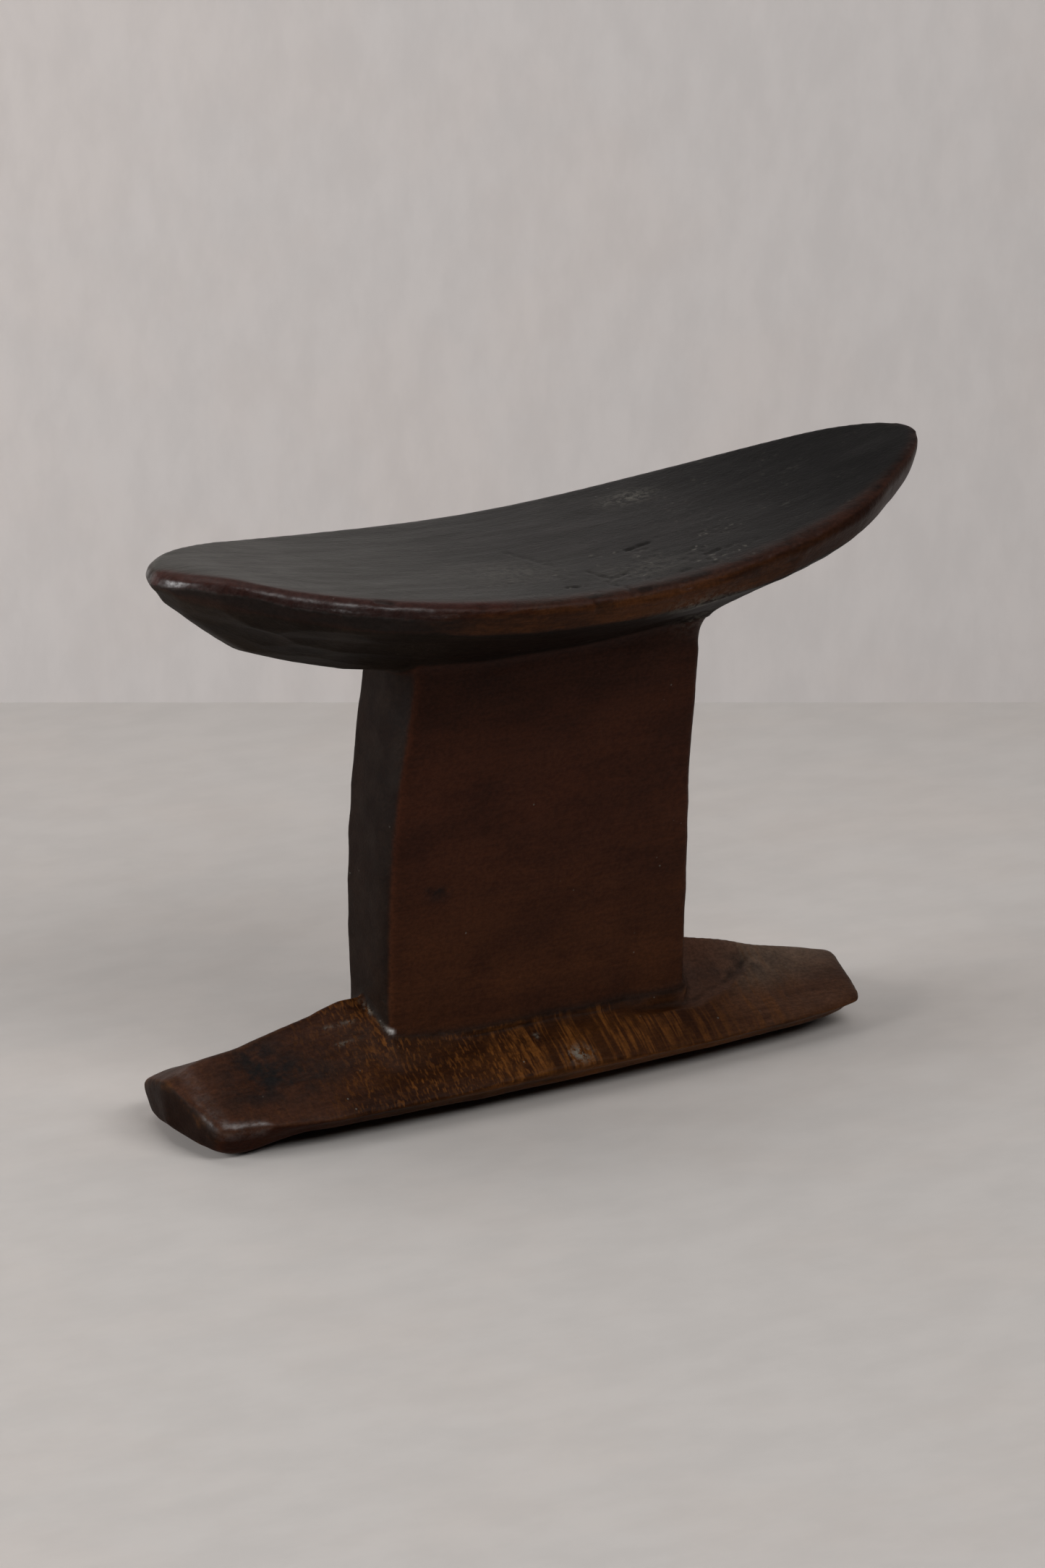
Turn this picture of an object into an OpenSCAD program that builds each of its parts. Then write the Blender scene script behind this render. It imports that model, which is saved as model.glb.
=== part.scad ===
// Carved wooden headrest: a dished neck rest on one flat column that stands on a
// boat-shaped base. +X runs along the neck rest, -Y is the front, +Z is up. The
// origin is on the ground under the middle of the neck rest. All sizes are in mm.

/* [Neck rest] */
// Length from tip to tip
rest_length = 210; // [180:1:240]
// Width across the middle
rest_width = 74; // [60:1:90]
// Height of the middle of the dish above the ground
dish_height = 129; // [110:1:150]
// How far the tips rise above the middle of the dish
tip_rise = 15.5; // [5:0.5:25]
// How much higher the right tip is carved than the mean, and the left one lower
tip_tilt = 2.5; // [0:0.5:5]
// Height of the rim band at the middle
rim_height = 7.2; // [5:0.1:10]
// How much thicker the rim band grows towards the right tip, and thinner to the left
rim_growth = 0.8; // [0:0.1:2]
// How far the rim band leans inwards at its lower edge
rim_undercut = 1.8; // [0.5:0.1:3]
// Radius of the worn upper edge of the rim
rim_round = 2.6; // [1:0.1:3.5]
// Depth of the keel under the middle of the dish
keel_depth = 22.8; // [18:0.1:28]
// Half width of the flattened bottom of the keel
keel_flat = 4; // [2:0.5:8]

/* [Column] */
// Width of the front face
column_width = 82; // [60:1:95]
// Thickness at the base
foot_thickness = 17.5; // [12:0.5:24]
// Thickness under the neck rest
head_thickness = 20.5; // [14:0.5:28]
// How far the left narrow side bows outwards at mid height
left_bow = 2.4; // [0:0.1:4]
// How far the right narrow side is hollowed at mid height
right_hollow = 0.9; // [0:0.1:3]
// Depth of the pared front left corner under the neck rest
corner_paring = 5; // [1:0.5:7]
// Rounding of the other upright edges
edge_round = 1.2; // [0.5:0.1:2.5]
// Offset of the column's foot to the left of the neck rest's middle
column_offset = 2.4; // [-5:0.1:5]
// Offset of the column behind the neck rest's middle
column_setback = 1.2; // [-5:0.1:5]
// How far the column leans to the right on its way up
column_lean = 1.2; // [-3:0.1:3]

/* [Base] */
// Length from prow to prow
base_length = 189; // [160:1:205]
// Width across the middle
base_width = 43; // [34:1:56]
// Width at the two ends, where the prow facets start
end_width = 37; // [28:1:42]
// Length of each blunt prow beyond the end corners
prow_length = 4.6; // [2:0.1:10]
// Height of the widest edge above the ground, at the middle and the ends
arris_height = 8; // [5:0.5:12]
// How far that edge sags between the middle and the ends
arris_sag = 1.1; // [0:0.1:2]
// Height of the ridge on the left of the column
ridge_left = 27.2; // [18:0.1:34]
// Height of the ridge on the right of the column
ridge_right = 25.2; // [18:0.1:34]
// Height of the ridge at the two prows
ridge_end = 13.8; // [9:0.1:18]
// How far the sole is set in from the widest edge
sole_inset = 3.3; // [1:0.1:6]
// How much further it is set in at the ends
sole_end_inset = 2.5; // [0:0.1:5]
// Offset of the base to the left of the neck rest's middle
base_offset = 3.6; // [-5:0.1:5]
// Offset of the base behind the neck rest's middle
base_setback = 2.4; // [-5:0.1:5]

/* [Hidden] */

rest_stations = 60;         // steps along the neck rest
base_stations = 48;         // steps along the base
column_levels = 12;         // steps up the column
round_steps = 4;            // steps in each rounded edge
prow_steps = 6;             // steps along each prow
outline_power = 2.15;       // fullness of the neck rest's plan towards its tips
outline_tip = 0.52;         // bluntness of the neck rest's tips
keel_power = 4.5;           // how late the keel runs out towards the tips
tip_trim = 0.998;           // the plan stops just short of its sharp end
tip_round = 16;             // length of the worn part of each tip
left_tip_wear = 3.2;        // how far the dish is worn down at the very left tip
right_tip_wear = 0.8;       // and at the very right tip
ridge_flat_left = 53;       // the ridge is level this far out on the left
ridge_flat_right = 45;      // and this far out on the right
ridge_step = 1.6;           // extra drop just outside the level part on the left
ridge_swell = 1.5;          // how far the left ridge then swells above a straight line
sole_rise = 5;              // how far the sole lifts under each prow
sole_lift = 11;             // length over which it lifts
prow_curve = 1.6;           // fullness of the prow's two facets; 1 is flat
prow_blunt = 0.8;           // half width of the blunt edge at the prow
column_foot = 10;           // the blank of the column starts here, inside the base
column_head = 122;          // and ends here, inside the neck rest
foot_clear = 17;            // height at which the column leaves the base
head_clear = 108;           // height at which the column meets the neck rest

function mix(a, b, t) = a + (b - a) * t;
function clamp01(t) = min(1, max(0, t));

// Skin over a row of equal outlines, whose points run the same way round.
module skin(rings) {
    count = len(rings[0]);
    last = len(rings) - 1;
    sides = [for (r = [0 : last - 1], i = [0 : count - 1])
        let (a = r * count + i, b = r * count + (i + 1) % count)
        each [[a, b, a + count], [b, b + count, a + count]]];
    caps = [[for (i = [count - 1 : -1 : 0]) i],
            [for (i = [0 : count - 1]) last * count + i]];
    polyhedron([for (ring = rings) each ring], concat(sides, caps), convexity = 6);
}

// ---- neck rest ----

half_length = rest_length / 2;

function rest_half_width(u) =
    rest_width / 2 * pow(1 - pow(tip_trim * abs(u), outline_power), outline_tip);
function dish_z(u) = dish_height + tip_rise * u * u + tip_tilt * u;

// How far the dish has worn down near a tip.
function tip_wear(u) =
    (u < 0 ? left_tip_wear : right_tip_wear)
    * pow(clamp01((abs(u) - 1) * half_length / tip_round + 1), 2);

function keel_z(u) = dish_z(u)
    - max(rim_height / 2, keel_depth * sqrt(1 - pow(tip_trim * abs(u), keel_power)));

// Half of one cross-section from the middle of the dish round to the keel, as [y, z].
function rest_half_section(u) =
    let (w = rest_half_width(u),
         z = dish_z(u) - tip_wear(u),
         slim = min(1, w / (rest_width / 4)),
         round_r = min(rim_round, w * 0.45) * slim + 0.1,
         rim = rim_height + rim_growth * u,
         rim_z = z - rim * mix(0.5, 1, slim))
    concat(
        [[0, z], [(w - round_r) / 2, z]],
        [for (i = [0 : round_steps]) let (a = 90 * i / round_steps)
            [w - round_r + round_r * sin(a), z - round_r + round_r * cos(a)]],
        [[w - min(rim_undercut, w * 0.4), rim_z],
         [min(keel_flat, w * 0.3), min(keel_z(u), rim_z)]]);

function rest_ring(u) =
    let (half = rest_half_section(u), n = len(half))
    [for (p = half) [u * half_length, p[0], p[1]],
     for (i = [n - 1 : -1 : 1]) [u * half_length, -half[i][0], half[i][1]]];

module neck_rest_blank() {
    skin([for (i = [0 : rest_stations]) rest_ring(sin(mix(-90, 90, i / rest_stations)))]);
}

// ---- base ----

base_half = base_length / 2;
end_corner = base_half - prow_length;

function base_half_width(x) = abs(x) < end_corner
    ? mix(base_width, end_width, pow(abs(x) / end_corner, 2)) / 2
    : mix(end_width / 2, prow_blunt, pow((abs(x) - end_corner) / prow_length, prow_curve));

// Height of the ridge at a distance x from the middle of the neck rest: level under
// the column, then falling to the prows, with a short steeper step on the left.
function ridge_z(x) =
    let (inner = clamp01((x + ridge_flat_left) / (ridge_flat_left + ridge_flat_right)),
         left_t = clamp01((-ridge_flat_left - x) / (base_half + base_offset - ridge_flat_left)),
         right_t = clamp01((x - ridge_flat_right) / (base_half - base_offset - ridge_flat_right)))
    mix(ridge_left, ridge_right, inner)
        - (ridge_left - ridge_end - ridge_step) * left_t - ridge_step * min(1, 6 * left_t)
        + ridge_swell * sin(180 * left_t)
        - (ridge_right - ridge_end) * right_t;

function arris_z(x) =
    let (at_prow = mix(ridge_z(x - base_offset), arris_height, base_half_width(x) * 2 / end_width),
         along = sin(180 * abs(x) / end_corner))
    abs(x) < end_corner ? arris_height - arris_sag * along * along : at_prow;

function sole_lift_t(x) = pow(clamp01((abs(x) - base_half + sole_lift) / sole_lift), 2);

function base_ring(x) =
    let (w = base_half_width(x),
         lift = sole_lift_t(x),
         sole = max(prow_blunt / 2, w - sole_inset - sole_end_inset * lift),
         sole_z = sole_rise * lift,
         px = x - base_offset)
    [[px, base_setback, ridge_z(px)],
     [px, base_setback + w, arris_z(x)],
     [px, base_setback + sole, sole_z],
     [px, base_setback - sole, sole_z],
     [px, base_setback - w, arris_z(x)]];

module base_blank() {
    inner = [for (i = [0 : base_stations]) mix(-end_corner, end_corner, i / base_stations)];
    prow = [for (i = [1 : prow_steps]) end_corner + prow_length * sin(90 * i / prow_steps)];
    skin([for (x = concat([for (i = [prow_steps - 1 : -1 : 0]) -prow[i]], inner, prow))
        base_ring(x)]);
}

// ---- column ----

function column_ring(z) =
    let (t = clamp01((z - foot_clear) / (head_clear - foot_clear)),
         middle = column_lean * t - column_offset,
         left = middle - column_width / 2 - left_bow * sin(180 * t),
         right = middle + column_width / 2 - right_hollow * sin(180 * t),
         half = mix(foot_thickness, head_thickness, t) / 2,
         back = column_setback + half,
         front = column_setback - half,
         r = edge_round,
         pare = mix(edge_round, corner_paring, t))
    [[right - r, back, z], [right, back - r, z],
     [right, front + r, z], [right - r, front, z],
     [left + 0.55 * pare, front, z], [left, front + 1.4 * pare, z],
     [left, back - r, z], [left + r, back, z]];

module column_blank() {
    skin([for (i = [0 : column_levels])
        column_ring(mix(column_foot, column_head, i / column_levels))]);
}

// ---- the named pieces ----

module neck_rest() {
    color("#3a2a22") neck_rest_blank();
}

module base() {
    color("#6b4020") base_blank();
}

// The column is coped at both ends: it stands astride the base's ridge and
// takes the keel of the neck rest.
module column() {
    color("#4a2a1c") difference() {
        column_blank();
        neck_rest_blank();
        base_blank();
    }
}

neck_rest();
column();
base();
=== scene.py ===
"""The carved headrest: one block of dark wood, hand cut, waxed, worn and a little dusty.

The three CAD nodes are fused into one fine mesh, worn and carved as one block, and cut
apart again where they meet, so that the surface and the grain run on from piece to piece.
Sculpting works in millimetres, in the frame of the part; Blender's objects are in metres.
"""

import math

import bmesh
import bpy
import numpy as np
from mathutils import Matrix, Vector, noise
from mathutils.bvhtree import BVHTree


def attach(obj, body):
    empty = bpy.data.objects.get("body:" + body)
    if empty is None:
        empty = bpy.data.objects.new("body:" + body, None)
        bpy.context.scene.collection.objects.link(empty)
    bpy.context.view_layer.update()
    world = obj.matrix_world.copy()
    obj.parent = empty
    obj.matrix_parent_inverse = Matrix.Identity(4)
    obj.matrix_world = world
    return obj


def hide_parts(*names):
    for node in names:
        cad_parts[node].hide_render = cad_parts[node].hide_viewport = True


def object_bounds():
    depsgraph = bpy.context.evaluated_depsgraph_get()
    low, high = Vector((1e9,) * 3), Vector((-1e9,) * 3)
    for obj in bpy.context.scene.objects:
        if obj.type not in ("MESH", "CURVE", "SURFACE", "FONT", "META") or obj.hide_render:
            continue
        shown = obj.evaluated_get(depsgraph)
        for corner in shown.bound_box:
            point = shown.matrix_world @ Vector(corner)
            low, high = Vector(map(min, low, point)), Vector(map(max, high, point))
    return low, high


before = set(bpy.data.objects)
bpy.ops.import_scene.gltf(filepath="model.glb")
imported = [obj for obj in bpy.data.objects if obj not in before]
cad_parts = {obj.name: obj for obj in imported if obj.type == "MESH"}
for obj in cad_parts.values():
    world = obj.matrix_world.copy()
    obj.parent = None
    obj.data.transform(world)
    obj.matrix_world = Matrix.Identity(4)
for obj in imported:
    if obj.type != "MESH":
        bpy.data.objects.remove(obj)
CAD_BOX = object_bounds()

MM = 0.001
VOXEL = 0.6                 # size of the sculpted mesh's quads
NODES = ("neck_rest", "column", "base")
REST, COLUMN, BASE = range(3)

# The same sizes as in the CAD, in millimetres.
DISH_HEIGHT = 129
TIP_RISE = 15.5
TIP_TILT = 2.5
HALF_LENGTH = 105
HALF_WIDTH = 37
OUTLINE_POWER = 2.15
OUTLINE_TIP = 0.52
TIP_TRIM = 0.998
BASE_MIDDLE = 2.4           # how far the middle of the base stands behind the neck rest's

# Masks of the neck rest apply above this height, and masks of the base below it.
MID_COLUMN = 70

# Camera: aimed at half the object's height, and tilted a little to the right.
AIM_X = -0.004
CAMERA_DISTANCE = 1.4025
CAMERA_AZIMUTH = math.radians(-34.17)
CAMERA_ELEVATION = math.radians(18.67)
CAMERA_ROLL = math.radians(1.87)
LENS = 85
SENSOR = 22.3


# ---- small helpers ----

def smoothstep(low, high, values):
    t = np.clip((values - low) / (high - low), 0, 1)
    return t * t * (3 - 2 * t)


def noise_at(points, size, seed=0):
    """Smooth noise from -1 to 1; size is one wavelength, or one for each axis."""
    shift = Vector((7.3 * seed, -3.1 * seed, 5.7 * seed))
    scaled = points / np.asarray(size, float)
    return np.array([noise.noise(Vector(p) + shift) for p in scaled.tolist()])


def cells_at(points, size, seed=0):
    """Distance from each point to the nearest seed of a random cell, in cells."""
    shift = Vector((4.9 * seed, 8.3 * seed, -2.7 * seed))
    scaled = points / np.asarray(size, float)
    return np.array([noise.voronoi(Vector(p) + shift)[0][0] for p in scaled.tolist()])


def path_distance(points, path):
    """Distance from each point to a line through the given places."""
    best = np.full(len(points), np.inf)
    for a, b in zip(path[:-1], path[1:]):
        a, b = np.array(a, float), np.array(b, float)
        along = np.clip((points - a) @ (b - a) / max((b - a) @ (b - a), 1e-9), 0, 1)
        gap = points - (a + along[:, None] * (b - a))
        best = np.minimum(best, np.sqrt((gap * gap).sum(1)))
    return best


# ---- the fused block ----

def clean_bmesh(node):
    """A CAD node's mesh in millimetres, with its split corners joined."""
    shape = bmesh.new()
    shape.from_mesh(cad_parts[node].data)
    bmesh.ops.scale(shape, vec=(1 / MM, 1 / MM, 1 / MM), verts=shape.verts)
    bmesh.ops.remove_doubles(shape, verts=shape.verts, dist=0.001)
    return shape


def surface_distance(points, tree):
    return np.array([tree.find_nearest(p)[3] for p in points.tolist()])


def fused_mesh(shapes, trees):
    """All the nodes as one mesh; the column's ends first grow a little into its neighbours."""
    sink = 3
    for vert in shapes[COLUMN].verts:
        if trees[BASE].find_nearest(vert.co)[3] < 0.05:
            vert.co.z -= sink
        elif trees[REST].find_nearest(vert.co)[3] < 0.05:
            vert.co.z += sink
    whole = bmesh.new()
    for shape in shapes:
        part = bpy.data.meshes.new("part")
        shape.to_mesh(part)
        whole.from_mesh(part)
        bpy.data.meshes.remove(part)
    mesh = bpy.data.meshes.new("block")
    whole.to_mesh(mesh)
    whole.free()
    return mesh


def remeshed(mesh, voxel):
    """An even mesh of quads over the outside of a closed mesh, as arrays."""
    block = bpy.data.objects.new("block", mesh)
    bpy.context.scene.collection.objects.link(block)
    modifier = block.modifiers.new("remesh", "REMESH")
    modifier.mode = "VOXEL"
    modifier.voxel_size = voxel
    bpy.context.view_layer.update()
    fine = bpy.data.meshes.new_from_object(
        block.evaluated_get(bpy.context.evaluated_depsgraph_get()))
    bpy.data.objects.remove(block)
    return fine


def mesh_arrays(mesh):
    points = np.zeros(len(mesh.vertices) * 3, np.float32)
    mesh.vertices.foreach_get("co", points)
    corners = np.zeros(len(mesh.loops), np.int32)
    mesh.loops.foreach_get("vertex_index", corners)
    edges = np.zeros(len(mesh.edges) * 2, np.int32)
    mesh.edges.foreach_get("vertices", edges)
    return (points.reshape(-1, 3).astype(float), corners.reshape(-1, 4), edges.reshape(-1, 2))


class Surface:
    """The sculpted surface: points, quads, edges and normals, all in millimetres."""

    def __init__(self, mesh):
        self.mesh = mesh
        self.points, self.quads, self.edges = mesh_arrays(mesh)
        self.degree = np.bincount(self.edges.ravel(), minlength=len(self.points))

    def neighbour_mean(self, values):
        a, b = self.edges.T
        count = len(self.points)
        columns = [np.bincount(a, column[b], count) + np.bincount(b, column[a], count)
                   for column in values.reshape(count, -1).T]
        return (np.array(columns) / self.degree).T.reshape(values.shape)

    def relax(self, weight, rounds):
        weight = np.broadcast_to(weight, len(self.points))[:, None]
        for _ in range(rounds):
            self.points = self.points + weight * (self.neighbour_mean(self.points) - self.points)

    def normals(self):
        self.mesh.vertices.foreach_set("co", self.points.astype(np.float32).ravel())
        self.mesh.update()
        found = np.zeros(len(self.points) * 3, np.float32)
        self.mesh.vertex_normals.foreach_get("vector", found)
        return found.reshape(-1, 3).astype(float)

    def push(self, offset):
        """Moves every point out along its normal."""
        self.points = self.points + self.normals() * offset[:, None]

    def bulge(self, rounds):
        """Above 0 on ridges and below 0 in hollows, averaged over a few neighbours."""
        lift = ((self.points - self.neighbour_mean(self.points)) * self.normals()).sum(1)
        for _ in range(rounds):
            lift = 0.5 * lift + 0.5 * self.neighbour_mean(lift)
        return lift


# ---- wear, carving and tool marks ----

def interp(values, *pairs):
    """Straight steps between (place, value) pairs."""
    places, heights = zip(*pairs)
    return np.interp(values, places, heights)


def dish_depth(points):
    """How far each point lies below the middle line of the dish."""
    span = points[:, 0] / HALF_LENGTH
    return DISH_HEIGHT + TIP_RISE * span ** 2 + TIP_TILT * span - points[:, 2]


def brim_distance(points):
    """Distance across the block from each point to the outline of the neck rest."""
    span = np.clip(TIP_TRIM * np.abs(points[:, 0]) / HALF_LENGTH, 0, 0.999)
    return HALF_WIDTH * (1 - span ** OUTLINE_POWER) ** OUTLINE_TIP - np.abs(points[:, 1])


def front_outline(start, end, steps):
    """Places along the front edge of the neck rest, in plan."""
    places = np.linspace(start, end, steps)
    middle = np.array([(x, 0, 0) for x in places])
    return list(zip(places.tolist(), -brim_distance(middle)))


def flat_path_distance(points, path):
    """Distance in plan only."""
    return path_distance(points * (1, 1, 0), [(*place, 0) for place in path])


# The worn arris around the left end of the base, from its ridge to its front.
END_ARRIS = [(-93.5, 2.4, 15), (-93.5, -7, 11.5), (-93.3, -15, 8.2), (-90, -16.3, 8), (-84, -16.6, 7.8)]


def wear_arrises(surface, gaps):
    """Rounds every arris a little, and fills the inner corners as a carver leaves them."""
    x, y, z = surface.points.T
    surface.relax(0.5, 6)
    foot = np.maximum(gaps[COLUMN], gaps[BASE])
    head = np.maximum(gaps[COLUMN], gaps[REST])
    head_reach = 3 + 6 * smoothstep(20, 38, x)
    surface.relax(0.5 * (1 - smoothstep(1.2, 2.6, foot)), 10)
    surface.relax(0.5 * (1 - smoothstep(0.5, 1.0, head / head_reach)), 40)
    surface.push(1.1 * smoothstep(28, 38, x) * np.exp(-(head / 4) ** 2))
    prows = (gaps[BASE] < 1.5) * np.maximum(smoothstep(-78, -88, x), smoothstep(70, 82, x))
    tips = (gaps[REST] < 1.5) * np.maximum(smoothstep(-85, -98, x), smoothstep(90, 100, x))
    corner = (gaps[COLUMN] < 1.5) * smoothstep(-36, -40, x)
    corner = corner * smoothstep(2, -2, y) * smoothstep(20, 30, z)
    surface.relax(0.5 * np.maximum.reduce([0.6 * prows, tips, corner]), 20)
    bulge = surface.bulge(8)
    rim = (gaps[REST] < 1.5) * smoothstep(-35, -60, x) * smoothstep(0.012, 0.03, bulge)
    sides = (gaps[BASE] < 1.5) * smoothstep(0.015, 0.04, bulge)
    ends = smoothstep(3.5, 1.5, path_distance(surface.points, END_ARRIS))
    prow = (gaps[BASE] < 1.5) * smoothstep(80, 88, x)
    surface.relax(0.5 * np.maximum.reduce([rim, 0.5 * sides, ends, prow]), 14)
    surface.relax(0.5 * np.maximum(ends, rim), 20)


def true_up(surface, gaps):
    """Puts back what the smoothing drew in, and trims the outline where the carver did."""
    x, y, z = surface.points.T
    base = smoothstep(1.8, 1.2, gaps[BASE])
    rest = smoothstep(2.2, 1.4, gaps[REST])
    left_end = base * smoothstep(-78, -88, x) * interp(z, (0, 0.1), (7, 0.6), (14, 1.6))
    column = smoothstep(4, 1, gaps[COLUMN])
    shift = base * smoothstep(70, 82, x) - left_end + 0.9 * rest * smoothstep(85, 98, x)
    shift -= column * smoothstep(-33, -40, x) * (0.3 + 0.8 * smoothstep(105, 70, z))
    shift += column * smoothstep(30, 37, x) * (0.4 + 1.1 * smoothstep(80, 40, z))
    right_front = rest * np.exp(-((x - 92) / 13) ** 2) * smoothstep(2, -6, y)
    depth = dish_depth(surface.points)
    lift = interp(x, (-105, 0.1), (-92, 0.3), (-75, 0.9), (-55, 1.1), (-40, 1.1), (0, 0.8), (60, 0.6),
                  (105, 0.9))
    lift += np.exp(-((x + 97) / 12) ** 2) * interp(y, (-14, 0.7), (0, 0.2), (12, -0.6))
    surface.points[:, 0] += shift - 1.2 * right_front
    surface.points[:, 1] += 1.5 * right_front
    surface.points[:, 2] += rest * lift * smoothstep(10, 3, depth)
    surface.points[:, 2] += rest * 0.6 * smoothstep(-42, -60, x) * smoothstep(9, 12, depth)
    middle = smoothstep(-88, -64, x) * smoothstep(88, 64, x)
    surface.points[:, 1] -= 1.6 * base * smoothstep(-9, -16, y) * middle
    ridge = smoothstep(-78, -92, x) * smoothstep(6, 12, z) * 1.7
    swell = 0.7 * smoothstep(36, 46, x) * smoothstep(68, 56, x)
    swell = swell * smoothstep(-8, -1, y) * smoothstep(10, 18, z)
    surface.points[:, 2] += base * (ridge + swell)


def lift_sole(surface):
    """The sole curves up towards its long edges, so that a dark gap shows under them."""
    x, y, z = surface.points.T
    half = interp(x, (-98, 13), (-80, 16.5), (0, 18.2), (72, 16.5), (90, 13))
    along = smoothstep(-90, -70, x)
    lift = (0.3 + 3.1 * along) * smoothstep(0.52, 0.95, np.abs(y - BASE_MIDDLE) / half)
    lift += 0.7 * smoothstep(76, 90, x)
    surface.points[:, 2] += lift * smoothstep(8, 0.5, z)


def carve_base(surface, gaps):
    """The hand-cut line between column and base, and the scoop on the right of the column."""
    x, y, z = surface.points.T
    front = smoothstep(0, -4, y)
    near = smoothstep(8, 1, gaps[COLUMN] + 1.5 * gaps[BASE])
    rise = interp(x, (-50, 1.0), (-44, 2.1), (-39, 1.2), (-32, 0.4), (-27, 0))
    surface.points[:, 2] += rise * front * near
    flare = interp(x, (-30, 0), (-19, -0.9), (-10, -1.1), (0, -0.5), (14, -0.7), (22, 0))
    reach = smoothstep(10, 1, gaps[BASE]) * smoothstep(2.5, 0.5, gaps[COLUMN]) * smoothstep(-4, -7, y)
    surface.points[:, 1] += 1.2 * flare * reach
    crease = interp(x, (18, -12), (42, -11.6), (53, -8.6), (60, -5.2), (66, -1))
    inside = smoothstep(-0.4, 2.4, y - crease) * smoothstep(1.5, -4, y)
    scoop = inside * smoothstep(18, 36, x) * smoothstep(69, 60, x) * (gaps[BASE] < 1)
    scoop *= smoothstep(0.6, 4, gaps[COLUMN])
    surface.push(-1.7 * scoop)


def chipped(points):
    """Where the dish is pitted: mostly along its front, in scattered patches."""
    x, y = points.T[:2]
    front = smoothstep(70, 30, x) * smoothstep(-45, -10, x) * smoothstep(2, -18, y)
    return (0.25 + 0.75 * front) * smoothstep(0.0, 0.25, noise_at(points, (9, 5, 9), 15))


def tool_marks(surface, owner):
    """Slight unevenness everywhere, with long shallow knife facets on the hidden sides."""
    points, normals = surface.points, surface.normals()
    swell = 0.2 * noise_at(points, (46, 30, 30), 1)
    dish = (owner == REST) * smoothstep(0.2, 0.6, normals[:, 2])
    swell += (0.13 - 0.1 * dish) * noise_at(points, (15, 9, 9), 2)
    facets = 1.0 * cells_at(points, (26, 8, 8), 3) ** 2
    under = (owner == REST) * smoothstep(0.2, -0.3, normals[:, 2]) * smoothstep(100, 55, points[:, 0])
    foot = (owner == BASE) * smoothstep(-0.9, -0.6, normals[:, 2])
    side = (owner == COLUMN) * 0.3
    grit = (0.035 - 0.02 * dish) * noise_at(points, (3.4, 1.8, 1.8), 5)
    pits = smoothstep(0.4, 0.15, cells_at(points, (3.2, 1.9, 1.9), 9)) * chipped(points) * dish
    surface.push(-0.12 * pits)
    surface.push(swell + grit + facets * np.maximum.reduce([under, 0.35 * foot, side]) - 0.1)


# Cracks and nicks: places along each, its width and its depth. A place with two
# numbers is on the dish or its arris, seen from above.
CRACKS = [
    ([(15.5, -10.9), (18, -10.5), (20, -9.8), (22.5, -9.7)], 0.45, 0.5),
    ([(28, -24.8), (30, -24.7), (32.5, -24.2)], 0.4, 0.35),
    ([(34, -24.6), (36, -24.2)], 0.4, 0.15),
    ([(-9, 2), (-7.5, -4), (-5.5, -11.5)], 0.9, 0.12),
    ([(-0.5, -19.5), (-0.2, -23), (1.2, -26)], 0.7, 0.25),
    ([(1.2, -26), (4, -25.4), (6.5, -24)], 0.5, 0.3),
    ([(1.2, -26), (-0.8, -28), (-1.6, -30)], 0.6, 0.25),
    ([(-1.6, -30), (0.2, -32.5), (0.5, -35.5)], 0.7, 0.18),
    ([(-12, -27.4), (-10.8, -27.5), (-9.6, -28)], 0.5, 0.3),
    ([(-9.8, -36.4), (-7.5, -36.8), (-5.6, -36.8)], 0.5, 0.25),
    ([(3, -35.8), (6, -35.7)], 0.5, 0.2),
    ([(17, -31), (20, -30.6)], 0.5, 0.2),
    ([(-63.3, -27.2), (-61.5, -28), (-60.2, -28.4)], 0.8, 0.4),
    ([(-39.5, -33), (-38, -33.4)], 0.6, 0.2),
    ([(47, -31.8), (51, -31.2), (55, -30.5)], 1.2, 0.2),
    ([(-35, -8.2, 54.3), (-33, -8.2, 53.2), (-31, -8.2, 53.4), (-29.2, -8.2, 51.8)], 0.6, 0.3),
]


def crack_marks(surface):
    """Cuts the cracks and nicks, and returns how deep each point lies in one."""
    points = surface.points
    wander = 0.7 * noise_at(points, (1.8, 1.8, 1.8), 8)
    whole = 1 - 0.7 * smoothstep(0.2, 0.5, noise_at(points, (2.2, 2.2, 2.2), 12))
    top = smoothstep(5, 3, dish_depth(points))
    inside = np.zeros(len(points))
    offset = np.zeros(len(points))
    for path, width, depth in CRACKS:
        flat = len(path[0]) == 2
        gap = flat_path_distance(points, path) if flat else path_distance(points, path)
        cut = whole * np.exp(-((gap + wander * width) / width) ** 2) * (top if flat else 1)
        offset = np.minimum(offset, -depth * cut)
        inside = np.maximum(inside, cut * min(0.9, 1.8 * depth))
    surface.push(offset)
    return inside


# ---- where the surface is polished, worn, stained or dusty, and where shade, sheen and a glint are painted ----

def blob(points, centre, size):
    """1 at a place, fading to 0 over the given size."""
    gap = (points - np.array(centre, float)) / np.asarray(size, float)
    return np.exp(-(gap * gap).sum(1))


def stains_and_shade(points):
    """Dark places: stains at the left foot and a small knot, and painted shade in the scoop on the
    right of the column and along the column's foot.
    """
    places = [((-77, -2, 17), (10, 9, 8), 0.9), ((-85, -9, 12), (8, 6, 5), 0.45),
              ((-68, -9, 14), (10, 7, 6), 0.6), ((58, -3, 18), (11, 5, 4), 0.5),
              ((74, -6, 14), (9, 6, 5), 0.3), ((-32, -8, 53), (3.0, 3, 1.5), 0.8),
              ((-50, -4, 21), (6, 4, 4), 0.3), ((20, 3, 17), (60, 20, 2.2), 0.3)]
    return np.clip(sum(amount * blob(points, at, size) for at, size, amount in places), 0, 1)


def line_marks(points, lines):
    amount = np.zeros(len(points))
    for path, width, strength in lines:
        amount = np.maximum(amount, strength * np.exp(-(path_distance(points, path) / width) ** 2))
    return amount


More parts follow.
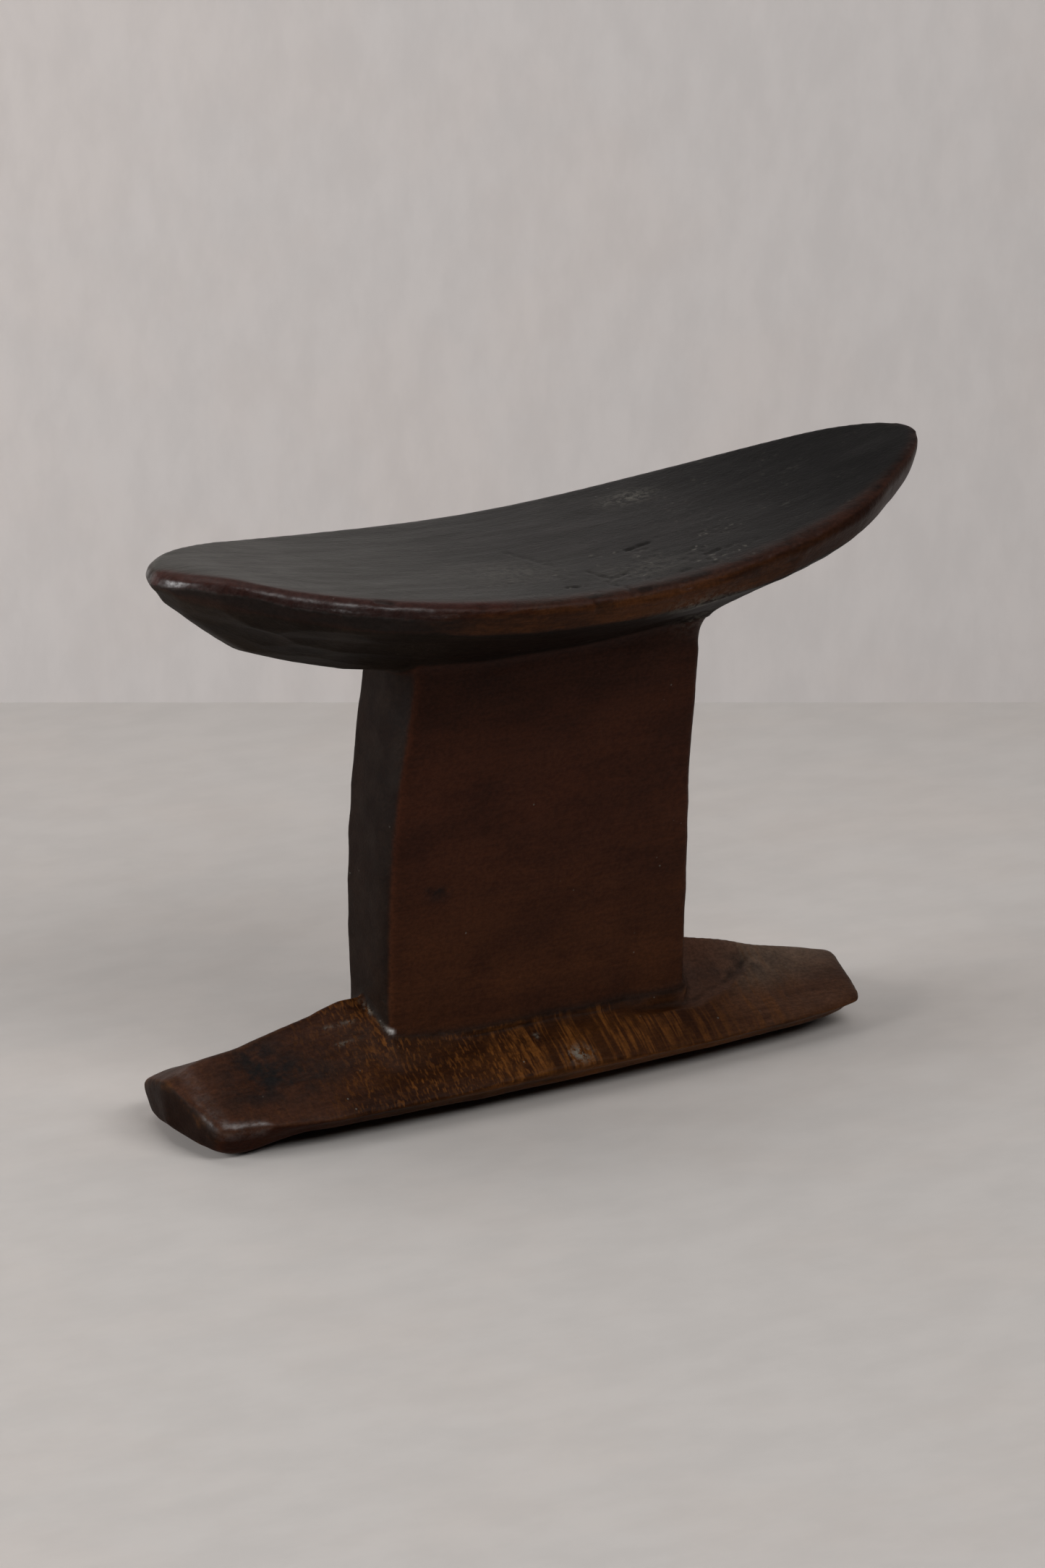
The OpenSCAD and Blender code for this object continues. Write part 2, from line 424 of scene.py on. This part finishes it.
def dust(points):
    """Pale places: the column's left foot, a worn patch, handling lines and specks."""
    amount = line_marks(points, [
        ([(-47, 1, 26.5), (-45.5, -3, 23), (-44, -7, 21)], 0.6, 0.4),
        ([(-58, -1, 22), (-51, -2, 23)], 0.4, 0.4),
        ([(-57, -5, 19), (-46, -5, 19.7)], 0.4, 0.4),
        ([(24, -12.3, 16.4), (42, -11.8, 16.4), (53, -8.8, 17.2), (60, -5.4, 18.3)], 0.55, 0.6)])
    places = [((2.5, -17.5, 9.5), (2.8, 2, 1.8), 0.9), ((-6, -12, 14), (0.7, 0.7, 0.7), 0.6),
              ((22, -34, 122), (11, 4, 3), 0.4), ((36, -10, 112), (6, 8, 4), 0.2),
              ((-20, -12, 129), (16, 8, 3), 0.12), ((12, -24, 129), (14, 6, 3), 0.12),
              ((37, 20, 132), (7, 4, 3), 0.25)]
    for at, size, strength in places:
        amount = np.maximum(amount, strength * blob(points, at, size))
    worn = chipped(points) * smoothstep(5, 3, dish_depth(points))
    worn = worn * smoothstep(2, 4, brim_distance(points))
    chips = smoothstep(0.3, 0.18, cells_at(points, (2.4, 1.7, 1.7), 21))
    return np.maximum(amount, 0.35 * worn * chips)


def painted_masks(surface, gaps, bulge):
    """A value from 0 to 1 at every point for each kind of surface."""
    points, normals = surface.points, surface.normals()
    x, y, z = points.T
    rest = smoothstep(-0.5, 0.5, gaps[COLUMN] - gaps[REST]) * (z > MID_COLUMN)
    base = smoothstep(-0.4, 0.4, gaps[COLUMN] - gaps[BASE]) * (z < MID_COLUMN)
    dish = rest * smoothstep(0.5, 0.92, normals[:, 2])
    rim = rest * smoothstep(-0.55, -0.3, normals[:, 2]) * (1 - dish)
    band = base * smoothstep(0.1, -0.25, normals[:, 2])
    slope = base * (1 - band)
    crease = interp(x, (12, 20), (18, -12), (42, -11.6), (53, -8.6), (60, -5.2), (66, 20))
    outside = smoothstep(1.5, -1.0, y - crease)
    front = smoothstep(-0.15, -0.45, normals[:, 1])
    end_grain = smoothstep(0.5, 0.9, np.abs(normals[:, 0]))
    inset = flat_path_distance(points, front_outline(-104.9, -30, 40))
    upper_arris = rest * smoothstep(-0.25, 0.1, normals[:, 2]) * smoothstep(0.85, 0.6, normals[:, 2])
    return {
        "dish": dish, "rim": rim, "under": rest * (1 - dish) * (1 - rim),
        "base": base, "band": band,
        "dashes": slope * smoothstep(2, -18, x) * (0.12 + 0.88 * smoothstep(-74, -36, x)),
        "streaks": slope * front * outside * smoothstep(-24, -8, x) * (1 - 0.65 * smoothstep(24, 44, x))
        * smoothstep(78, 60, x),
        # The mask after edge marks concave places, which get painted shade.
        "edge": smoothstep(0.012, 0.05, bulge), "hollow_shade": smoothstep(0.008, 0.04, -bulge),
        "stain_and_shade": stains_and_shade(points), "dust": dust(points),
        "glint": line_marks(points, [([(-44.2, -6.2, 21.2), (-43.2, -8, 20.6)], 0.45, 1.0)]),
        # On the next line, the dish's left end gets a mask for painted sheen.
        "end_grain": end_grain * (1 - rest) * (1 - 0.12 * base), "left_dish_sheen": dish * smoothstep(10, -95, x),
        "red": rest * np.exp(-((inset - 2.2) / 1.8) ** 2)
        * smoothstep(-22, -40, x) * (normals[:, 2] > 0),
        "polish": np.maximum(upper_arris * smoothstep(-38, -72, x),
                             smoothstep(3.4, 1.2, path_distance(points, END_ARRIS))),
        "brim": rest * smoothstep(6.5, 0.5, brim_distance(points)) * smoothstep(0.3, 0.6, normals[:, 2])
        * smoothstep(10, -5, y) * smoothstep(-70, -20, x),
        # This mask marks the inner corner at the column's front foot, for painted shade.
        "foot_corner_shade": np.exp(-((gaps[COLUMN] - gaps[BASE]) / 0.9) ** 2) * smoothstep(0, -4, y) * (z < 40),
        "scoop": slope * (1 - outside) * smoothstep(34, 42, x),
    }


# ---- cutting the block apart ----

def boundary_loops(quads):
    """The open edges of a set of quads, as closed loops of vertex numbers."""
    sides = np.concatenate([quads[:, [k, (k + 1) % 4]] for k in range(4)])
    seen = {}
    for a, b in sides.tolist():
        if (b, a) in seen:
            del seen[(b, a)]
        else:
            seen[(a, b)] = True
    follow = dict(seen.keys())
    loops = []
    while follow:
        start, here = follow.popitem()
        loop = [start]
        while here != start:
            loop.append(here)
            here = follow.pop(here)
        loops.append(loop)
    return loops


def closed_piece(surface, quads, name, normals, masks):
    """One piece: its share of the outside, closed with a cap where it meets the next one."""
    used, local = np.unique(quads, return_inverse=True)
    points = surface.points[used]
    faces = local.reshape(-1, 4)
    caps = []
    extra = []
    for loop in boundary_loops(faces):
        middle = len(used) + len(extra)
        extra.append(points[loop].mean(0))
        caps += [(b, a, middle) for a, b in zip(loop, loop[1:] + loop[:1])]
    if extra:
        points = np.concatenate([points, extra])
    mesh = bpy.data.meshes.new(name)
    mesh.from_pydata((points * MM).tolist(), [], faces.tolist() + caps)
    mesh.validate()
    for mask, values in masks.items():
        layer = mesh.attributes.new(mask, "FLOAT", "POINT")
        data = np.zeros(len(points), np.float32)
        data[:len(used)] = values[used]
        layer.data.foreach_set("value", data)
    shared = np.zeros((len(points), 3))
    shared[:, 2] = 1
    shared[:len(used)] = normals[used]
    mesh.polygons.foreach_set("use_smooth", np.ones(len(mesh.polygons), bool))
    mesh.normals_split_custom_set_from_vertices(shared.tolist())
    piece = bpy.data.objects.new(name, mesh)
    bpy.context.scene.collection.objects.link(piece)
    return piece


def carved_pieces():
    shapes = [clean_bmesh(node) for node in NODES]
    trees = [BVHTree.FromBMesh(shape) for shape in shapes]
    surface = Surface(remeshed(fused_mesh(shapes, trees), VOXEL))
    gaps = [surface_distance(surface.points, tree) for tree in trees]
    wear_arrises(surface, gaps)
    gaps = np.array([surface_distance(surface.points, tree) for tree in trees])
    true_up(surface, gaps)
    face_owner = gaps[:, surface.quads].mean(2).argmin(0)
    carve_base(surface, gaps)
    lift_sole(surface)
    tool_marks(surface, gaps.argmin(0))
    bulge = surface.bulge(2)
    masks = painted_masks(surface, gaps, bulge)
    masks["crack"] = crack_marks(surface)
    normals = surface.normals()
    return [closed_piece(surface, surface.quads[face_owner == part], "carved_" + node, normals, masks)
            for part, node in enumerate(NODES)]


# ---- materials ----

class Nodes:
    """Short calls that build a material's node tree."""

    def __init__(self, name):
        self.material = bpy.data.materials.new(name)
        self.material.use_nodes = True
        self.tree = self.material.node_tree
        self.shader = self.tree.nodes["Principled BSDF"]

    def feed(self, socket, value):
        if isinstance(value, bpy.types.NodeSocket):
            self.tree.links.new(value, socket)
        elif isinstance(value, (tuple, list)) and len(value) == 3 and socket.type == "RGBA":
            socket.default_value = (*value, 1)
        else:
            socket.default_value = value

    def add(self, kind, settings=(), **inputs):
        node = self.tree.nodes.new(kind)
        for key, value in dict(settings).items():
            setattr(node, key, value)
        for key, value in inputs.items():
            self.feed(node.inputs[key.replace("_", " ")], value)
        return node

    def math(self, operation, a, b=0.0, clamp=False):
        node = self.add("ShaderNodeMath", {"operation": operation, "use_clamp": clamp})
        self.feed(node.inputs[0], a)
        self.feed(node.inputs[1], b)
        return node.outputs[0]

    def mask(self, name):
        return self.add("ShaderNodeAttribute", {"attribute_name": name}).outputs["Fac"]

    def stretched(self, size):
        """The place on the block in millimetres, divided by a size for each axis."""
        place = self.add("ShaderNodeTexCoord").outputs["Object"]
        node = self.add("ShaderNodeVectorMath", {"operation": "MULTIPLY"})
        self.feed(node.inputs[0], place)
        node.inputs[1].default_value = [1 / (MM * side) for side in size]
        return node.outputs[0]

    def noise(self, size, detail=2.0, roughness=0.5, distortion=0.0):
        node = self.add("ShaderNodeTexNoise", Vector=self.stretched(size), Scale=1.0,
                        Detail=detail, Roughness=roughness, Distortion=distortion)
        return node.outputs["Fac"]

    def spread(self, value, low, high, start=0.0, end=1.0):
        """value from low to high, as start to end."""
        node = self.add("ShaderNodeMapRange", {"interpolation_type": "SMOOTHSTEP"})
        for index, each in enumerate((value, low, high, start, end)):
            self.feed(node.inputs[index], each)
        return node.outputs[0]

    def blend(self, amount, below, above, kind="MIX"):
        node = self.add("ShaderNodeMix", {"data_type": "RGBA", "blend_type": kind})
        self.feed(node.inputs[0], amount)
        self.feed(node.inputs[6], below)
        self.feed(node.inputs[7], above)
        return node.outputs[2]


def wood_fibre(nodes):
    """Fine grain and broad clouds along the block."""
    fibre = nodes.noise((11, 0.7, 0.8), detail=4, roughness=0.65)
    band = nodes.noise((40, 7, 8), detail=3, distortion=0.6)
    cloud = nodes.noise((17, 13, 15), detail=3)
    fine = nodes.math("MULTIPLY", fibre, 0.28)
    middle = nodes.math("MULTIPLY_ADD", band, 0.3)
    nodes.feed(middle.node.inputs[2], fine)
    whole = nodes.math("MULTIPLY_ADD", cloud, 0.42)
    nodes.feed(whole.node.inputs[2], middle)
    return whole, fibre


def golden_figure(nodes):
    """Pale flecks across the grain: short dashes on the left, tall streaks in the middle."""
    patches = nodes.noise((9, 9, 9), detail=2)
    rows = nodes.spread(nodes.noise((1.5, 12, 12), detail=2, distortion=0.12), 0.38, 0.6, 0.45)
    dashes = nodes.spread(nodes.noise((0.7, 2.3, 1.5), detail=1, distortion=0.15), 0.48, 0.64)
    dashes = nodes.math("MULTIPLY", rows, dashes)
    dashes = nodes.math("MULTIPLY", dashes, nodes.spread(patches, 0.3, 0.6, 0.45, 1.0))
    broad = nodes.noise((1.7, 18, 18), detail=3, roughness=0.5, distortion=0.35)
    broad = nodes.spread(broad, 0.46, 0.6)
    thin = nodes.spread(nodes.noise((0.9, 6, 6), detail=2, distortion=0.3), 0.34, 0.56, 0.35, 1.0)
    streaks = nodes.math("MULTIPLY", broad, thin)
    streaks = nodes.math("MULTIPLY", streaks, nodes.spread(patches, 0.34, 0.54, 0.3))
    return nodes.math("ADD", nodes.math("MULTIPLY", dashes, nodes.mask("dashes")),
                      nodes.math("MULTIPLY", streaks, nodes.mask("streaks")), clamp=True)


def specks(nodes, cell, size):
    """Tiny spots, at most one in each cell."""
    dots = nodes.add("ShaderNodeTexVoronoi", Vector=nodes.stretched((cell, cell, cell)), Scale=1.0)
    return nodes.spread(dots.outputs["Distance"], size / cell, 0.4 * size / cell)


def tinted(nodes, colour, mask, amount, tint):
    return nodes.blend(nodes.math("MULTIPLY", nodes.mask(mask), amount), colour, tint)


def foot_colour(nodes, tone):
    """The base: dark red at the left, flecked gold in the middle, greyer at the right, with a painted
    sheen on top of the right end.
    """
    middle = nodes.blend(tone, (0.018, 0.0055, 0.0018), (0.038, 0.0128, 0.0036))
    left = nodes.blend(tone, (0.022, 0.0092, 0.0056), (0.045, 0.018, 0.0102))
    right = nodes.blend(tone, (0.032, 0.0135, 0.0072), (0.07, 0.031, 0.0165))
    slope = nodes.blend(nodes.spread(nodes.along, -42, -72), middle, left)
    slope = nodes.blend(nodes.spread(nodes.along, 34, 66), slope, right)
    upper = nodes.spread(nodes.height, 11, 17, 0, 0.7)
    # Painted sheen: the top of the base's right end is paled.
    crown_sheen = nodes.math("MULTIPLY", nodes.spread(nodes.along, 48, 64), upper)
    slope = nodes.blend(crown_sheen, slope, (0.12, 0.08, 0.056))
    slope = nodes.blend(golden_figure(nodes), slope, (0.108, 0.038, 0.0078))
    slope = tinted(nodes, slope, "scoop", 0.65, (0.072, 0.0345, 0.0225))
    band = nodes.blend(tone, (0.03, 0.0108, 0.0034), (0.098, 0.034, 0.0076))
    band = nodes.blend(nodes.spread(nodes.along, -40, -72, 0, 0.9), band, (0.021, 0.0045, 0.0016))
    return nodes.blend(nodes.mask("band"), slope, band)


def rest_colour(nodes, tone, colour):
    """The neck rest: greenish dark underneath, with painted shade under the middle; red-brown on the
    rim; near black on the dish, with a painted sheen towards its left end and painted shade towards its
    right.
    """
    under = nodes.blend(tone, (0.0062, 0.005, 0.0036), (0.0145, 0.0115, 0.0082))
    # Painted shade: the underside darkens from x -52 to -24 and stays dark to the right, under the rim.
    under = nodes.blend(nodes.spread(nodes.along, -52, -24, 0, 0.75), under, (0.004, 0.0022, 0.0014))
    colour = nodes.blend(nodes.math("MULTIPLY", nodes.mask("under"), 0.88), colour, under)
    rim = nodes.blend(tone, (0.017, 0.0062, 0.003), (0.062, 0.0215, 0.0066))
    rim = nodes.blend(nodes.spread(nodes.along, -32, -62, 0, 0.95), rim, (0.0098, 0.0076, 0.0068))
    rim = nodes.blend(nodes.spread(nodes.along, 26, 74, 0, 0.85), rim, (0.0125, 0.0048, 0.0034))
    colour = nodes.blend(nodes.mask("rim"), colour, rim)
    dish = nodes.blend(tone, (0.0052, 0.0046, 0.0043), (0.0082, 0.0068, 0.0062))
    smears = nodes.spread(nodes.noise((34, 9, 9), detail=4, distortion=0.5), 0.4, 0.6, 0, 0.5)
    dish = nodes.blend(smears, dish, (0.0045, 0.0046, 0.004))
    # Painted sheen: the dish turns pale grey-green towards its left end.
    dish = tinted(nodes, dish, "left_dish_sheen", 0.75, (0.035, 0.0335, 0.0285))
    # Painted shade: the dish darkens towards its right end, where it catches less sheen.
    dish = nodes.blend(nodes.spread(nodes.along, 10, 80, 0, 0.95), dish, (0.0014, 0.0013, 0.0013))
    colour = nodes.blend(nodes.mask("dish"), colour, dish)
    rubbed = nodes.spread(nodes.noise((9, 3, 3), detail=4, roughness=0.6), 0.3, 0.6, 0.2, 0.85)
    brim = nodes.math("MULTIPLY", nodes.mask("brim"), rubbed)
    colour = nodes.blend(brim, colour, (0.034, 0.0125, 0.0076))
    return tinted(nodes, colour, "red", 0.65, (0.034, 0.006, 0.0042))


def wear_and_painted_light_colour(nodes, colour, grit):
    """Stains, worn arrises that are partly a painted highlight, cracks and dust on top; painted shade
    in concave places, along the column's foot and in the scoop beside it; and a painted glint at the
    column's left foot.
    """
    cloudy = nodes.spread(nodes.noise((5, 4, 4), detail=4, roughness=0.65), 0.3, 0.6)
    # Stains, and painted shade in the scoop right of the column and along the column's foot.
    smudge_and_shade = nodes.math("MULTIPLY", nodes.mask("stain_and_shade"), cloudy)
    colour = nodes.blend(smudge_and_shade, colour, (0.0095, 0.0085, 0.0082))
    # The base's convex arrises turn gold here: partly worn wood, partly a painted highlight.
    worn = nodes.spread(nodes.noise((5, 3, 3), detail=3), 0.42, 0.6)
    worn = nodes.math("MULTIPLY", nodes.math("MULTIPLY", worn, nodes.mask("edge")), 0.45)
    worn = nodes.math("MULTIPLY", worn, nodes.mask("base"))
    colour = nodes.blend(worn, colour, (0.085, 0.032, 0.009))
    # Painted shade: concave places are darkened.
    colour = tinted(nodes, colour, "hollow_shade", 0.45, (0.006, 0.0045, 0.0035))
    # Painted shade along the inner corner where the column meets the base.
    colour = tinted(nodes, colour, "foot_corner_shade", 0.6, (0.009, 0.006, 0.0045))
    colour = nodes.blend(nodes.mask("crack"), colour, (0.004, 0.0035, 0.003))
    flake = nodes.spread(nodes.noise((1.6, 1.6, 1.6), detail=3, roughness=0.7), 0.42, 0.56)
    dusty = nodes.math("MULTIPLY", nodes.mask("dust"), nodes.math("MULTIPLY", flake, 1.2), clamp=True)
    chance = nodes.spread(nodes.noise((9, 9, 9), detail=2), 0.5, 0.62, 0.0, 0.55)
    spots = nodes.math("MULTIPLY", specks(nodes, 4.5, 0.32), chance)
    colour = nodes.blend(nodes.math("MAXIMUM", dusty, spots), colour, (0.16, 0.15, 0.125))
    colour = tinted(nodes, colour, "glint", 0.9, (0.5, 0.49, 0.48))
    dapple = nodes.spread(grit, 0.3, 0.7, 0.78, 1.22)
    return nodes.blend(1.0, colour, dapple, "MULTIPLY")


def wood(name, roughness, gloss):
    nodes = Nodes(name)
    place = nodes.add("ShaderNodeSeparateXYZ", Vector=nodes.stretched((1, 1, 1)))
    nodes.along, nodes.height = place.outputs["X"], place.outputs["Z"]
    tone, fibre = wood_fibre(nodes)
    tone = nodes.spread(tone, 0.38, 0.62)
    grit = nodes.noise((1.1, 0.8, 0.8), detail=3, roughness=0.7)
    heart = nodes.blend(tone, (0.027, 0.0084, 0.0042), (0.041, 0.0125, 0.0058))
    warm = nodes.blend(tone, (0.036, 0.0115, 0.0045), (0.058, 0.0195, 0.0066))
    colour = nodes.blend(nodes.spread(nodes.height, 75, 20, 0, 0.75), heart, warm)
    colour = nodes.blend(nodes.mask("base"), colour, foot_colour(nodes, tone))
    # Painted shade: the column darkens towards its top, under the neck rest.
    colour = nodes.blend(nodes.spread(nodes.height, 86, 108, 0, 0.12), colour, (0.016, 0.0095, 0.007))
    mottled = nodes.blend(nodes.spread(nodes.noise((5, 5, 7), detail=4), 0.35, 0.65),
                          (0.0021, 0.0018, 0.0014), (0.0062, 0.0048, 0.0036))
    colour = nodes.blend(nodes.math("MULTIPLY", nodes.mask("end_grain"), 0.85), colour, mottled)
    colour = rest_colour(nodes, tone, colour)
    colour = wear_and_painted_light_colour(nodes, colour, grit)
    nodes.feed(nodes.shader.inputs["Base Color"], colour)
    rough = nodes.noise((22, 3, 3), detail=3)
    rough = nodes.spread(rough, 0.3, 0.7, roughness - 0.03, roughness + 0.03)
    rough = nodes.math("ADD", rough, nodes.math("MULTIPLY", nodes.mask("end_grain"), 0.17))
    rough = nodes.math("ADD", rough, nodes.math("MULTIPLY", nodes.mask("under"), 0.2))
    far = nodes.math("MULTIPLY", nodes.mask("dish"), nodes.spread(nodes.along, 30, 90, 0, 0.14))
    nodes.feed(nodes.shader.inputs["Roughness"], nodes.math("ADD", rough, far))
    nodes.shader.inputs["Specular IOR Level"].default_value = gloss
    rubbed = nodes.spread(nodes.noise((3, 2, 2), detail=4, roughness=0.7), 0.35, 0.65, 0.15, 0.85)
    rubbed = nodes.math("MULTIPLY", nodes.mask("polish"), rubbed)
    grease = nodes.noise((34, 3.2, 3.2), detail=5, roughness=0.6, distortion=0.3)
    grease = nodes.spread(grease, 0.36, 0.62, 0.3)
    grease = nodes.math("MULTIPLY", grease, nodes.spread(nodes.along, 100, -30, 0.01, 0.13))
    grease = nodes.math("MULTIPLY", grease, nodes.mask("dish"))
    nodes.feed(nodes.shader.inputs["Coat Weight"], nodes.math("MAXIMUM", rubbed, grease))
    nodes.shader.inputs["Coat Roughness"].default_value = 0.34
    height = nodes.math("ADD", nodes.math("MULTIPLY", fibre, 0.4), nodes.math("MULTIPLY", grit, 0.7))
    bump = nodes.add("ShaderNodeBump", Strength=0.5, Distance=0.3 * MM, Height=height)
    nodes.feed(nodes.shader.inputs["Normal"], bump.outputs[0])
    return nodes.material


def painted_board(name, colour, size):
    """A pale painted surface with faint clouds in it."""
    nodes = Nodes(name)
    cloud = nodes.spread(nodes.noise(size, detail=5, roughness=0.6), 0.3, 0.7, 0.97, 1.03)
    tint = nodes.blend(nodes.spread(nodes.noise((90, 70, 80), detail=4, roughness=0.65), 0.4, 0.65),
                       colour, tuple(part * scale for part, scale in zip(colour, (1.01, 0.995, 0.985))))
    nodes.feed(nodes.shader.inputs["Base Color"], nodes.blend(1.0, tint, cloud, "MULTIPLY"))
    nodes.shader.inputs["Roughness"].default_value = 0.85
    return nodes.material


# ---- stage ----

def stage_plane(name, corners, material):
    mesh = bpy.data.meshes.new(name)
    mesh.from_pydata(corners, [], [(0, 1, 2, 3)])
    plane = bpy.data.objects.new(name, mesh)
    bpy.context.scene.collection.objects.link(plane)
    plane.data.materials.append(material)
    return plane


def one_sided(material):
    """The backdrop is only there from its front, so that it never hides the object's back."""
    tree = material.node_tree
    shader = tree.nodes["Principled BSDF"]
    output = tree.nodes["Material Output"]
    side = tree.nodes.new("ShaderNodeNewGeometry").outputs["Backfacing"]
    clear = tree.nodes.new("ShaderNodeBsdfTransparent")
    choice = tree.nodes.new("ShaderNodeMixShader")
    tree.links.new(side, choice.inputs[0])
    tree.links.new(shader.outputs[0], choice.inputs[1])
    tree.links.new(clear.outputs[0], choice.inputs[2])
    tree.links.new(choice.outputs[0], output.inputs["Surface"])


def add_stage():
    wall_turn = math.radians(-28.1)
    along = Vector((math.cos(wall_turn), math.sin(wall_turn), 0))
    foot = Vector((0.158, 0.239, 0))
    near = Vector((-along.y, along.x, 0)) * -3
    reach = along * 3
    up = Vector((0, 0, 0.7))
    plaster = painted_board("pale_plaster", (0.467, 0.44, 0.42), (22, 13, 13))
    wash = painted_board("pale_wash", (0.553, 0.522, 0.51), (9, 9, 20))
    one_sided(wash)
    left, right = foot - reach, foot + reach
    stage_plane("floor", [left - near, left + near, right + near, right - near], plaster)
    stage_plane("backdrop", [left, right, right + up, left + up], wash)


def add_light(name, azimuth, elevation, power, size=0.6, distance=1.3):
    """A round softbox that faces the object; azimuth 0 is in front of it, 90 to its right."""
    light = bpy.data.lights.new(name, "AREA")
    light.shape = "DISK"
    light.size = size
    light.energy = power
    lamp = bpy.data.objects.new(name, light)
    aim = Matrix.Translation((0, 0, CAD_BOX[1][2] / 2))
    turn = Matrix.Rotation(math.radians(azimuth), 4, "Z")
    tilt = Matrix.Rotation(math.radians(90 - elevation), 4, "X")
    lamp.matrix_world = aim @ turn @ tilt @ Matrix.Translation((0, 0, distance))
    bpy.context.scene.collection.objects.link(lamp)


def add_lights():
    add_light("left_window", -94, 18, 14)
    add_light("front_softbox", -4, 53, 3.8)
    add_light("right_softbox", 26, 42, 4.8)
    add_light("back_softbox", -140, 74, 3.2)
    add_light("top_softbox", 86, 78, 1.2)


def add_camera():
    data = bpy.data.cameras.new("camera")
    data.lens = LENS
    data.sensor_width = SENSOR
    camera = bpy.data.objects.new("camera", data)
    aim = Matrix.Translation((AIM_X, 0, CAD_BOX[1][2] / 2))
    turn = Matrix.Rotation(CAMERA_AZIMUTH, 4, "Z")
    tilt = Matrix.Rotation(math.pi / 2 - CAMERA_ELEVATION, 4, "X")
    roll = Matrix.Rotation(CAMERA_ROLL, 4, "Z")
    camera.matrix_world = aim @ turn @ tilt @ roll @ Matrix.Translation((0, 0, CAMERA_DISTANCE))
    bpy.context.scene.collection.objects.link(camera)
    bpy.context.scene.camera = camera


def add_world(strength):
    world = bpy.data.worlds.new("studio")
    world.use_nodes = True
    background = world.node_tree.nodes["Background"]
    background.inputs["Color"].default_value = (1, 0.98, 0.96, 1)
    background.inputs["Strength"].default_value = strength
    bpy.context.scene.world = world


def main():
    add_camera()
    bpy.context.scene.view_settings.view_transform = "Standard"
    add_stage()
    add_world(0.01)
    add_lights()
    finishes = (("dark_polished_wood", 0.36, 0.055), ("red_brown_wood", 0.46, 0.07),
                ("flecked_brown_wood", 0.42, 0.04))
    for piece, node, (slot, roughness, gloss) in zip(carved_pieces(), NODES, finishes):
        piece.data.materials.append(wood(slot, roughness, gloss))
        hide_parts(node)
        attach(piece, "root")


main()
